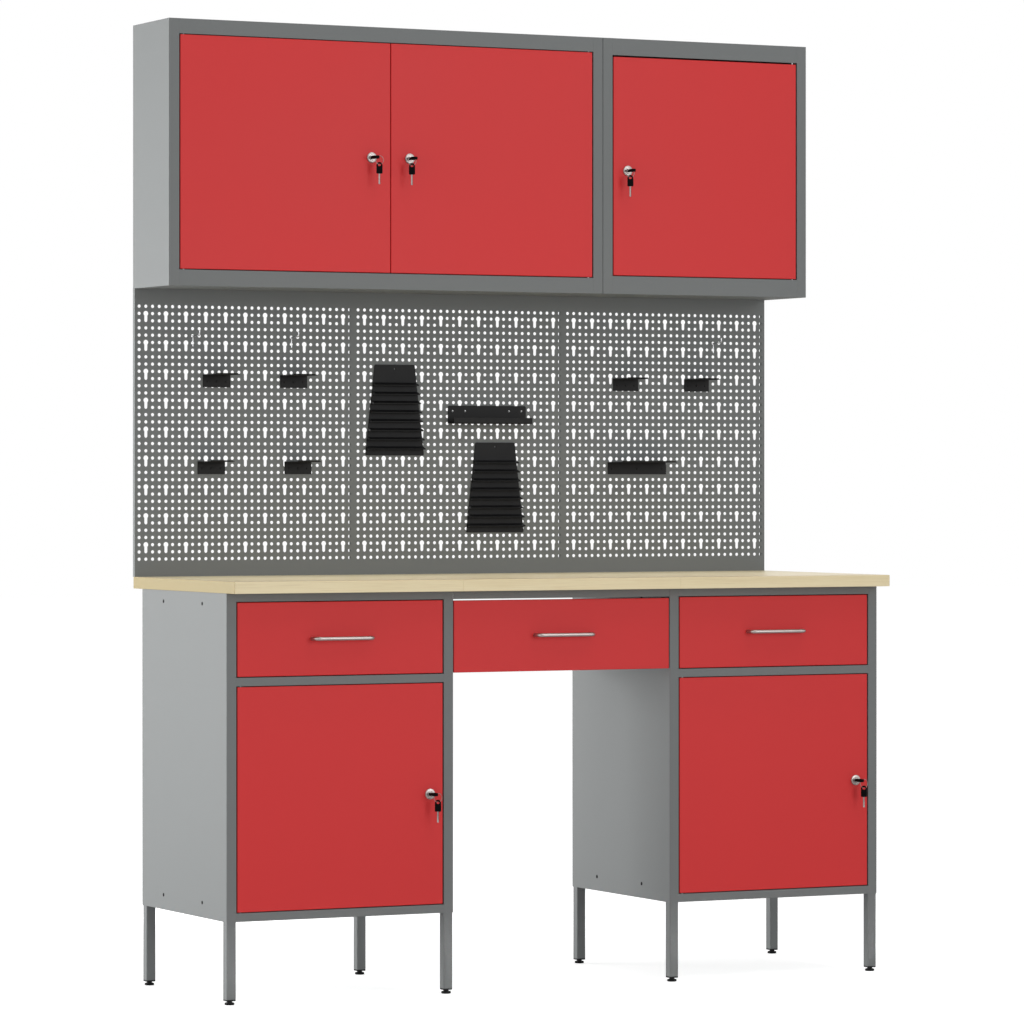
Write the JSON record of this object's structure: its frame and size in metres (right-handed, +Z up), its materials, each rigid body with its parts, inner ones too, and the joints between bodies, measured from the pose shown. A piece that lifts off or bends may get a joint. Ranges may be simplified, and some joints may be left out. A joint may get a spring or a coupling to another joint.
{
  "type": "workbench with drawers",
  "caption": "Steel workbench with drawers and lockable cupboards under a wooden top, a perforated tool wall and lockable wall cabinets above.",
  "frame": {"origin": "on the floor, at the middle of the width and the depth of the bench", "axes": "+Z up, -Y to the front where the user stands, +X to the user's right"},
  "size_m": [1.506, 0.54, 1.986],
  "materials": {
    "grey_paint": "satin grey powder coat",
    "red_paint": "satin red powder coat",
    "worktop_board": "pale lacquered board",
    "chrome": "polished",
    "zinc_steel": "zinc plated",
    "black_paint": "matt black powder coat",
    "black_plastic": "moulded"
  },
  "bodies": {
    "frame": {"worktop": "worktop_board", "pedestal_sides": "grey_paint", "pedestal_legs": "grey_paint", "foot_inserts": "black_plastic", "levelling_feet": "black_plastic", "frame_rails": "grey_paint", "pedestal_floors": "grey_paint", "pedestal_backs": "grey_paint", "pedestal_shelves": "grey_paint", "drawer_runners": "zinc_steel", "left_tool_panel": "grey_paint", "centre_tool_panel": "grey_paint", "right_tool_panel": "grey_paint", "wide_cabinet_sides": "grey_paint", "wide_cabinet_top_and_bottom": "grey_paint", "wide_cabinet_door_stop": "grey_paint", "narrow_cabinet_sides": "grey_paint", "narrow_cabinet_top_and_bottom": "grey_paint", "cabinet_backs": "grey_paint", "cabinet_shelves": "grey_paint", "tool_brackets": "black_paint", "tool_tray": "black_paint", "spanner_racks": "black_plastic"},
    "left_drawer": {"left_drawer_front": "red_paint", "left_drawer_tray": "grey_paint", "left_drawer_handle": "chrome", "left_drawer_slides": "zinc_steel"},
    "centre_drawer": {"centre_drawer_front": "red_paint", "centre_drawer_tray": "grey_paint", "centre_drawer_handle": "chrome", "centre_drawer_slides": "zinc_steel"},
    "right_drawer": {"right_drawer_front": "red_paint", "right_drawer_tray": "grey_paint", "right_drawer_handle": "chrome", "right_drawer_slides": "zinc_steel"},
    "left_cupboard_leaf": {"left_cupboard_door": "red_paint", "left_cupboard_door_hardware": "chrome", "left_cupboard_door_spare_key": "black_plastic"},
    "left_cupboard_lock": {"left_cupboard_door_cam": "chrome", "left_cupboard_door_key": "black_plastic"},
    "right_cupboard_leaf": {"right_cupboard_door": "red_paint", "right_cupboard_door_hardware": "chrome", "right_cupboard_door_spare_key": "black_plastic"},
    "right_cupboard_lock": {"right_cupboard_door_cam": "chrome", "right_cupboard_door_key": "black_plastic"},
    "wide_left_leaf": {"wide_left_door": "red_paint", "wide_left_door_hardware": "chrome", "wide_left_door_spare_key": "black_plastic"},
    "wide_left_lock": {"wide_left_door_cam": "chrome", "wide_left_door_key": "black_plastic"},
    "wide_right_leaf": {"wide_right_door": "red_paint", "wide_right_door_hardware": "chrome", "wide_right_door_spare_key": "black_plastic"},
    "wide_right_lock": {"wide_right_door_cam": "chrome", "wide_right_door_key": "black_plastic"},
    "narrow_leaf": {"narrow_door": "red_paint", "narrow_door_hardware": "chrome", "narrow_door_spare_key": "black_plastic"},
    "narrow_lock": {"narrow_door_cam": "chrome", "narrow_door_key": "black_plastic"}
  },
  "joints": [
    {"name": "left_drawer_slide", "type": "slide", "parent": "frame", "child": "left_drawer", "axis": [0, -1, 0], "range_m": [0, 0.3]},
    {"name": "centre_drawer_slide", "type": "slide", "parent": "frame", "child": "centre_drawer", "axis": [0, -1, 0], "range_m": [0, 0.3]},
    {"name": "right_drawer_slide", "type": "slide", "parent": "frame", "child": "right_drawer", "axis": [0, -1, 0], "range_m": [0, 0.3]},
    {"name": "left_cupboard_hinge", "type": "hinge", "parent": "frame", "child": "left_cupboard_leaf", "pos_m": [-0.7185, -0.218, 0.4075], "axis": [0, 0, -1], "range_deg": [0, 105]},
    {"name": "right_cupboard_hinge", "type": "hinge", "parent": "frame", "child": "right_cupboard_leaf", "pos_m": [0.2815, -0.218, 0.4075], "axis": [0, 0, -1], "range_deg": [0, 105]},
    {"name": "wide_left_hinge", "type": "hinge", "parent": "frame", "child": "wide_left_leaf", "pos_m": [-0.7165, 0.08, 1.714], "axis": [0, 0, -1], "range_deg": [0, 105]},
    {"name": "wide_right_hinge", "type": "hinge", "parent": "frame", "child": "wide_right_leaf", "pos_m": [0.2165, 0.08, 1.714], "axis": [0, 0, 1], "range_deg": [0, 105]},
    {"name": "narrow_hinge", "type": "hinge", "parent": "frame", "child": "narrow_leaf", "pos_m": [0.7165, 0.08, 1.71305], "axis": [0, 0, 1], "range_deg": [0, 105]},
    {"name": "left_cupboard_lock_turn", "type": "hinge", "parent": "left_cupboard_leaf", "child": "left_cupboard_lock", "pos_m": [-0.3025, -0.222, 0.407], "axis": [0, 1, 0], "range_deg": [0, 90]},
    {"name": "right_cupboard_lock_turn", "type": "hinge", "parent": "right_cupboard_leaf", "child": "right_cupboard_lock", "pos_m": [0.6975, -0.222, 0.407], "axis": [0, 1, 0], "range_deg": [0, 90]},
    {"name": "wide_left_lock_turn", "type": "hinge", "parent": "wide_left_leaf", "child": "wide_left_lock", "pos_m": [-0.29375, 0.076, 1.714], "axis": [0, 1, 0], "range_deg": [0, 90]},
    {"name": "wide_right_lock_turn", "type": "hinge", "parent": "wide_right_leaf", "child": "wide_right_lock", "pos_m": [-0.20625, 0.076, 1.714], "axis": [0, -1, 0], "range_deg": [0, 90]},
    {"name": "narrow_lock_turn", "type": "hinge", "parent": "narrow_leaf", "child": "narrow_lock", "pos_m": [0.3095, 0.076, 1.7035], "axis": [0, -1, 0], "range_deg": [0, 90]}
  ]
}
